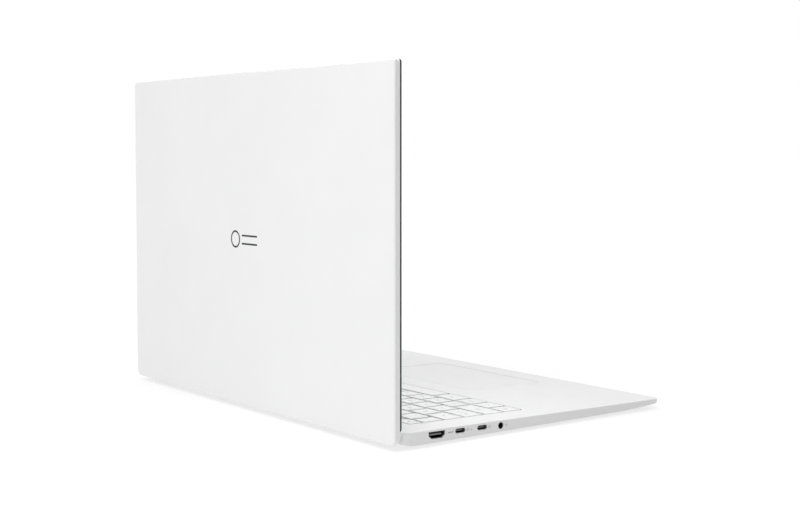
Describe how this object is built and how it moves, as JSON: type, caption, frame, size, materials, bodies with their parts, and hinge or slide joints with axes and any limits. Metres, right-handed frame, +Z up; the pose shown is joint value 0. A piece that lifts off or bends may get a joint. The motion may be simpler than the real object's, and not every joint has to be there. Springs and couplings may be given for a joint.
{
  "type": "laptop computer",
  "caption": "Slim white laptop computer with a large screen, opened upright, full-size keyboard with number pad, touchpad and side ports.",
  "frame": {"origin": "on the desk under the middle of the opened computer: midway between its sides and between the front edge and the back of the upright lid", "axes": "+X to the user's right, +Y away from the user, +Z up; the desk top is Z = 0 and the lid stands in a plane of constant Y"},
  "size_m": [0.3802, 0.2648, 0.2634],
  "materials": {
    "shell_white": "satin",
    "key_white": "matte",
    "key_web": "matte",
    "touchpad_glass": "satin",
    "bezel_black": "matte",
    "gasket_rubber": "matte",
    "screen": "gloss",
    "camera_glass": "gloss",
    "module_black": "matte",
    "copper": "satin",
    "cable_film": "satin",
    "hinge_steel": "brushed",
    "dome_rubber": "matte",
    "foot_rubber": "matte",
    "port_steel": "satin",
    "jack_plastic": "matte",
    "light_guide": "gloss",
    "circuit_board": "satin",
    "chip": "satin",
    "fin_aluminium": "satin",
    "fan_plastic": "matte",
    "battery_film": "satin"
  },
  "bodies": {
    "base": {"top_case": "shell_white", "bottom_cover": "shell_white", "rubber_feet": "foot_rubber", "bottom_screws": "hinge_steel", "keyboard_frame": "key_web", "keyboard_base_plate": "hinge_steel", "dome_sheet": "dome_rubber", "touchpad_bracket": "hinge_steel", "video_port": "port_steel", "usb_c_port_rear": "port_steel", "usb_c_port_front": "port_steel", "usb_a_port_rear": "port_steel", "usb_a_port_front": "port_steel", "card_reader": "port_steel", "audio_jack": "jack_plastic", "status_light": "light_guide", "lock_slot": "hinge_steel", "base_hinge_left": "hinge_steel", "base_hinge_right": "hinge_steel", "mainboard": "circuit_board", "processor": "chip", "heat_pipe": "copper", "heatsink_fins": "fin_aluminium", "fan_housing": "fan_plastic", "battery_pack": "battery_film", "solid_state_drive": "circuit_board", "memory_module": "circuit_board", "wireless_card": "circuit_board", "port_board": "circuit_board", "speaker_left": "module_black", "speaker_right": "module_black", "ribbon_cables": "cable_film"},
    "lid": {"lid_back_cover": "shell_white", "display_bezel": "bezel_black", "bezel_gasket": "gasket_rubber", "display_panel": "screen", "camera_window": "camera_glass", "camera_module": "module_black", "wireless_antennas": "copper", "display_cable": "cable_film", "hinge_cover": "shell_white", "lid_hinge_left": "hinge_steel", "lid_hinge_right": "hinge_steel", "hinge_screws": "hinge_steel"},
    "fan": {"fan_rotor": "fan_plastic"},
    "touchpad": {"touchpad": "touchpad_glass"},
    "power": {"power_button": "key_white"},
    "key_function_body": {"function_keys": "key_white"},
    "key_number_row_body": {"number_row_keys": "key_white"},
    "key_backspace_body": {"backspace_key": "key_white"},
    "key_upper_letters_body": {"upper_letter_keys": "key_white"},
    "key_caps_lock_body": {"caps_lock_key": "key_white"},
    "key_home_letters_body": {"home_letter_keys": "key_white"},
    "key_enter_body": {"enter_key": "key_white"},
    "key_left_shift_body": {"left_shift_key": "key_white"},
    "key_lower_letters_body": {"lower_letter_keys": "key_white"},
    "key_control_body": {"control_keys": "key_white"},
    "key_space_body": {"space_bar": "key_white"},
    "key_arrows_body": {"arrow_keys": "key_white"},
    "key_number_pad_body": {"number_pad_keys": "key_white"}
  },
  "joints": [
    {"name": "display_hinge", "type": "hinge", "parent": "base", "child": "lid", "pos_m": [0, 0.12277, 0.00821], "axis": [-1, 0, 0], "range_deg": [-91, 24]},
    {"name": "fan_spin", "type": "hinge", "parent": "base", "child": "fan", "pos_m": [-0.08, 0.082, 0.004], "axis": [0, 0, 1], "continuous": true},
    {"name": "click_touchpad", "type": "hinge", "parent": "base", "child": "touchpad", "pos_m": [-0.0119, -0.02927, 0.00771], "axis": [1, 0, 0], "range_deg": [0, 0.3], "stiffness_Nm_per_rad": 20, "springref_deg": -0.23},
    {"name": "button_power", "type": "slide", "parent": "base", "child": "power", "axis": [0, 0.0175, -0.9998], "range_m": [0, 0.0005], "stiffness_N_per_m": 600, "springref_m": -0.001},
    {"name": "key_function", "type": "slide", "parent": "base", "child": "key_function_body", "axis": [0, 0.0175, -0.9998], "range_m": [0, 0.0014], "stiffness_N_per_m": 500, "springref_m": -0.001},
    {"name": "key_number_row", "type": "slide", "parent": "base", "child": "key_number_row_body", "axis": [0, 0.0175, -0.9998], "range_m": [0, 0.0014], "stiffness_N_per_m": 500, "springref_m": -0.001},
    {"name": "key_backspace", "type": "slide", "parent": "base", "child": "key_backspace_body", "axis": [0, 0.0175, -0.9998], "range_m": [0, 0.0014], "stiffness_N_per_m": 500, "springref_m": -0.001},
    {"name": "key_upper_letters", "type": "slide", "parent": "base", "child": "key_upper_letters_body", "axis": [0, 0.0175, -0.9998], "range_m": [0, 0.0014], "stiffness_N_per_m": 500, "springref_m": -0.001},
    {"name": "key_caps_lock", "type": "slide", "parent": "base", "child": "key_caps_lock_body", "axis": [0, 0.0175, -0.9998], "range_m": [0, 0.0014], "stiffness_N_per_m": 500, "springref_m": -0.001},
    {"name": "key_home_letters", "type": "slide", "parent": "base", "child": "key_home_letters_body", "axis": [0, 0.0175, -0.9998], "range_m": [0, 0.0014], "stiffness_N_per_m": 500, "springref_m": -0.001},
    {"name": "key_enter", "type": "slide", "parent": "base", "child": "key_enter_body", "axis": [0, 0.0175, -0.9998], "range_m": [0, 0.0014], "stiffness_N_per_m": 500, "springref_m": -0.001},
    {"name": "key_left_shift", "type": "slide", "parent": "base", "child": "key_left_shift_body", "axis": [0, 0.0175, -0.9998], "range_m": [0, 0.0014], "stiffness_N_per_m": 500, "springref_m": -0.001},
    {"name": "key_lower_letters", "type": "slide", "parent": "base", "child": "key_lower_letters_body", "axis": [0, 0.0175, -0.9998], "range_m": [0, 0.0014], "stiffness_N_per_m": 500, "springref_m": -0.001},
    {"name": "key_control", "type": "slide", "parent": "base", "child": "key_control_body", "axis": [0, 0.0175, -0.9998], "range_m": [0, 0.0014], "stiffness_N_per_m": 500, "springref_m": -0.001},
    {"name": "key_space", "type": "slide", "parent": "base", "child": "key_space_body", "axis": [0, 0.0175, -0.9998], "range_m": [0, 0.0014], "stiffness_N_per_m": 500, "springref_m": -0.001},
    {"name": "key_arrows", "type": "slide", "parent": "base", "child": "key_arrows_body", "axis": [0, 0.0175, -0.9998], "range_m": [0, 0.0014], "stiffness_N_per_m": 500, "springref_m": -0.001},
    {"name": "key_number_pad", "type": "slide", "parent": "base", "child": "key_number_pad_body", "axis": [0, 0.0175, -0.9998], "range_m": [0, 0.0014], "stiffness_N_per_m": 500, "springref_m": -0.001}
  ]
}
